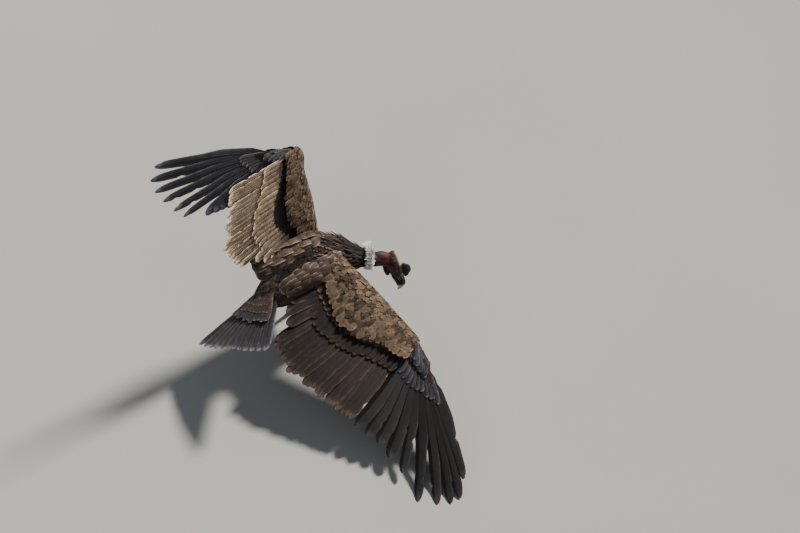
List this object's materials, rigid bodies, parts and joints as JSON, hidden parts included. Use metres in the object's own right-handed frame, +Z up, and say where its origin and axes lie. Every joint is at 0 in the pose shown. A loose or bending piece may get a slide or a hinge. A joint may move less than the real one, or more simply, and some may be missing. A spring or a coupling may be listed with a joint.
{
  "type": "andean condor",
  "caption": "Life-size still model of an immature male Andean condor, one wing raised, the other spread to the floor, head bent down.",
  "frame": {"origin": "middle of the left foot's sole, on the floor", "axes": "+Z up, +X the way the body faces, -Y the bird's right"},
  "size_m": [1.1114, 1.6765, 1.3876],
  "materials": {
    "plumage": "matte",
    "wing_coverts": "matte",
    "flight_feathers": "satin",
    "collar_down": "matte",
    "head_skin": "matte",
    "comb": "satin",
    "bill": "satin",
    "eye": "glossy",
    "leg_scales": "matte"
  },
  "bodies": {
    "root": {"torso": "plumage", "neck": "plumage", "collar": "collar_down", "head": "head_skin", "comb": "comb", "bill_upper": "bill", "bill_lower": "bill", "eye_left": "eye", "eye_right": "eye", "tail": "flight_feathers", "wing_arm_left": "wing_coverts", "wing_arm_right": "wing_coverts", "wing_hand_left": "flight_feathers", "wing_hand_right": "flight_feathers", "shank_left": "plumage", "shank_right": "plumage", "tarsus_left": "leg_scales", "tarsus_right": "leg_scales"}
  },
  "joints": []
}
